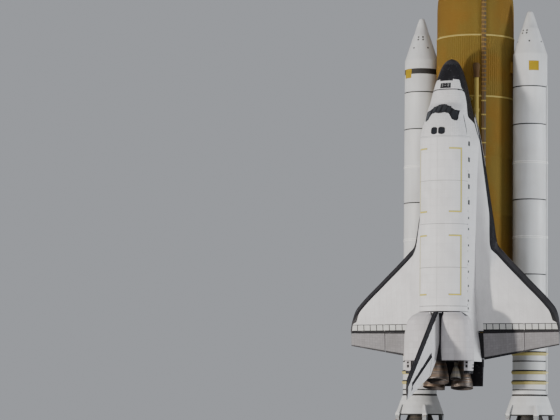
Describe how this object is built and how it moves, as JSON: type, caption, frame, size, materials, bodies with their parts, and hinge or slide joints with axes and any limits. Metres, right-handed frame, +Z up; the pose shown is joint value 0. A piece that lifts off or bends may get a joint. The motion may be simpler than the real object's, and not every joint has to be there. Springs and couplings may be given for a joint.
{
  "type": "space shuttle stack on hold-down posts, half-size model",
  "caption": "Winged orbiter on its external propellant tank between solid rocket boosters that stand on hold-down posts, half-size model.",
  "frame": {"origin": "on the floor, under the centre of the stack's box", "axes": "+Z up the stack, +X to the orbiter's starboard side, -Y to where the orbiter's back faces"},
  "size_m": [11.8958, 11.688, 28.2339],
  "materials": {
    "foam": "sprayed foam",
    "booster_paint": "semi-gloss white",
    "silica_white": "matt white tile and blanket",
    "silica_black": "matt black tile",
    "carbon": "matt carbon",
    "nozzle_metal": "heat-darkened",
    "window_glass": "dark coated",
    "post_paint": "weathered grey"
  },
  "bodies": {
    "stack": {"oxygen_tank": "foam", "intertank": "foam", "hydrogen_tank": "foam", "oxygen_feed_line": "foam", "tank_cable_tray": "foam", "forward_bipod_strut": "foam", "aft_orbiter_attachment": "foam", "nose_cap": "carbon", "nose_section": "silica_white", "forward_fuselage": "silica_white", "forward_thruster_module": "silica_white", "windshield_glass": "window_glass", "roof_window_glass": "window_glass", "mid_fuselage": "silica_white", "aft_fuselage": "silica_white", "vertical_fin": "silica_white", "wing_port": "silica_white", "wing_leading_edge_port": "carbon", "engine_pod_port": "silica_white", "wing_starboard": "silica_white", "wing_leading_edge_starboard": "carbon", "engine_pod_starboard": "silica_white", "booster_nose_port": "booster_paint", "booster_forward_skirt_port": "booster_paint", "booster_case_port": "booster_paint", "booster_attach_ring_port": "booster_paint", "booster_aft_skirt_port": "booster_paint", "hold_down_posts_front_port": "post_paint", "hold_down_posts_back_port": "post_paint", "booster_nose_starboard": "booster_paint", "booster_forward_skirt_starboard": "booster_paint", "booster_case_starboard": "booster_paint", "booster_attach_ring_starboard": "booster_paint", "booster_aft_skirt_starboard": "booster_paint", "hold_down_posts_front_starboard": "post_paint", "hold_down_posts_back_starboard": "post_paint"},
    "crew_hatch": {"crew_hatch": "silica_white"},
    "rudder_post": {"rudder_post": "silica_black"},
    "body_flap": {"body_flap": "silica_black"},
    "bay_door_port": {"bay_door_port": "silica_white"},
    "rudder_panel_port": {"rudder_panel_port": "silica_white"},
    "nose_wheel_door_port": {"nose_wheel_door_port": "silica_black"},
    "main_wheel_door_port": {"main_wheel_door_port": "silica_black"},
    "elevon_inboard_port": {"elevon_inboard_port": "silica_white"},
    "elevon_outboard_port": {"elevon_outboard_port": "silica_white"},
    "pod_engine_port": {"pod_engine_port": "nozzle_metal"},
    "bay_door_starboard": {"bay_door_starboard": "silica_white"},
    "rudder_panel_starboard": {"rudder_panel_starboard": "silica_white"},
    "nose_wheel_door_starboard": {"nose_wheel_door_starboard": "silica_black"},
    "main_wheel_door_starboard": {"main_wheel_door_starboard": "silica_black"},
    "elevon_inboard_starboard": {"elevon_inboard_starboard": "silica_white"},
    "elevon_outboard_starboard": {"elevon_outboard_starboard": "silica_white"},
    "pod_engine_starboard": {"pod_engine_starboard": "nozzle_metal"},
    "main_engine_upper": {"main_engine_upper": "nozzle_metal"},
    "main_engine_port": {"main_engine_port": "nozzle_metal"},
    "main_engine_starboard": {"main_engine_starboard": "nozzle_metal"},
    "booster_nozzle_port": {"booster_nozzle_port": "nozzle_metal"},
    "booster_nozzle_starboard": {"booster_nozzle_starboard": "nozzle_metal"}
  },
  "joints": [
    {"name": "bay_door_port_hinge", "type": "hinge", "parent": "stack", "child": "bay_door_port", "pos_m": [-1.34112, -0.81839, 10.93013], "axis": [0, 0, -1], "range_deg": [0, 175.5]},
    {"name": "bay_door_starboard_hinge", "type": "hinge", "parent": "stack", "child": "bay_door_starboard", "pos_m": [1.34112, -0.81839, 10.93013], "axis": [0, 0, 1], "range_deg": [0, 175.5]},
    {"name": "elevon_inboard_port_hinge", "type": "hinge", "parent": "stack", "child": "elevon_inboard_port", "pos_m": [-2.8194, 0.77983, 5.30403], "axis": [0.9981, 0.061, 0], "range_deg": [-35, 20]},
    {"name": "elevon_outboard_port_hinge", "type": "hinge", "parent": "stack", "child": "elevon_outboard_port", "pos_m": [-4.9657, 0.64856, 5.30403], "axis": [0.9981, 0.061, 0], "range_deg": [-35, 20]},
    {"name": "elevon_inboard_starboard_hinge", "type": "hinge", "parent": "stack", "child": "elevon_inboard_starboard", "pos_m": [2.8194, 0.77983, 5.30403], "axis": [0.9981, -0.061, 0], "range_deg": [-35, 20]},
    {"name": "elevon_outboard_starboard_hinge", "type": "hinge", "parent": "stack", "child": "elevon_outboard_starboard", "pos_m": [4.9657, 0.64856, 5.30403], "axis": [0.9981, -0.061, 0], "range_deg": [-35, 20]},
    {"name": "body_flap_hinge", "type": "hinge", "parent": "stack", "child": "body_flap", "pos_m": [0, 0.87071, 3.46253], "axis": [1, 0, 0], "range_deg": [-11.7, 22.55]},
    {"name": "rudder_turn", "type": "hinge", "parent": "stack", "child": "rudder_post", "pos_m": [0, -4.07112, 3.19115], "axis": [0, -0.8387, -0.5446], "range_deg": [-22.8, 22.8]},
    {"name": "speed_brake_starboard", "type": "hinge", "parent": "rudder_post", "child": "rudder_panel_starboard", "pos_m": [0, -4.07112, 3.19115], "axis": [0, -0.8387, -0.5446], "range_deg": [0, 49.3]},
    {"name": "speed_brake_port", "type": "hinge", "parent": "rudder_post", "child": "rudder_panel_port", "pos_m": [0, -4.07112, 3.19115], "axis": [0, 0.8387, 0.5446], "range_deg": [0, 49.3]},
    {"name": "main_engine_upper_pitch", "type": "hinge", "parent": "stack", "child": "main_engine_upper", "pos_m": [0, -1.11049, 4.56743], "axis": [1, 0, 0], "range_deg": [-10.5, 10.5]},
    {"name": "main_engine_port_pitch", "type": "hinge", "parent": "stack", "child": "main_engine_port", "pos_m": [-0.6731, 0.16459, 4.27533], "axis": [1, 0, 0], "range_deg": [-10.5, 10.5]},
    {"name": "main_engine_starboard_pitch", "type": "hinge", "parent": "stack", "child": "main_engine_starboard", "pos_m": [0.6731, 0.16459, 4.27533], "axis": [1, 0, 0], "range_deg": [-10.5, 10.5]},
    {"name": "pod_engine_port_pitch", "type": "hinge", "parent": "stack", "child": "pod_engine_port", "pos_m": [-1.0414, -1.63119, 3.62737], "axis": [1, 0, 0], "range_deg": [-6, 6]},
    {"name": "booster_nozzle_port_tilt", "type": "hinge", "parent": "stack", "child": "booster_nozzle_port", "pos_m": [-3.18135, 3.70916, 1.70993], "axis": [1, 0, 0], "range_deg": [-8, 8]},
    {"name": "pod_engine_starboard_pitch", "type": "hinge", "parent": "stack", "child": "pod_engine_starboard", "pos_m": [1.0414, -1.63119, 3.62737], "axis": [1, 0, 0], "range_deg": [-6, 6]},
    {"name": "booster_nozzle_starboard_tilt", "type": "hinge", "parent": "stack", "child": "booster_nozzle_starboard", "pos_m": [3.18135, 3.70916, 1.70993], "axis": [1, 0, 0], "range_deg": [-8, 8]},
    {"name": "crew_hatch_hinge", "type": "hinge", "parent": "stack", "child": "crew_hatch", "pos_m": [-1.26238, 0.28143, 16.26413], "axis": [0, 0, -1], "range_deg": [0, 90]},
    {"name": "nose_wheel_door_port_hinge", "type": "hinge", "parent": "stack", "child": "nose_wheel_door_port", "pos_m": [-0.31084, 0.76124, 18.74063], "axis": [0, -0.1744, 0.9847], "range_deg": [0, 90]},
    {"name": "main_wheel_door_port_hinge", "type": "hinge", "parent": "stack", "child": "main_wheel_door_port", "pos_m": [-1.41636, 1.03772, 8.72668], "axis": [0, 0.0103, -0.9999], "range_deg": [0, 77]},
    {"name": "nose_wheel_door_starboard_hinge", "type": "hinge", "parent": "stack", "child": "nose_wheel_door_starboard", "pos_m": [0.31084, 0.76124, 18.74063], "axis": [0, 0.1744, -0.9847], "range_deg": [0, 90]},
    {"name": "main_wheel_door_starboard_hinge", "type": "hinge", "parent": "stack", "child": "main_wheel_door_starboard", "pos_m": [1.41636, 1.03772, 8.72668], "axis": [0, -0.0103, 0.9999], "range_deg": [0, 77]}
  ]
}
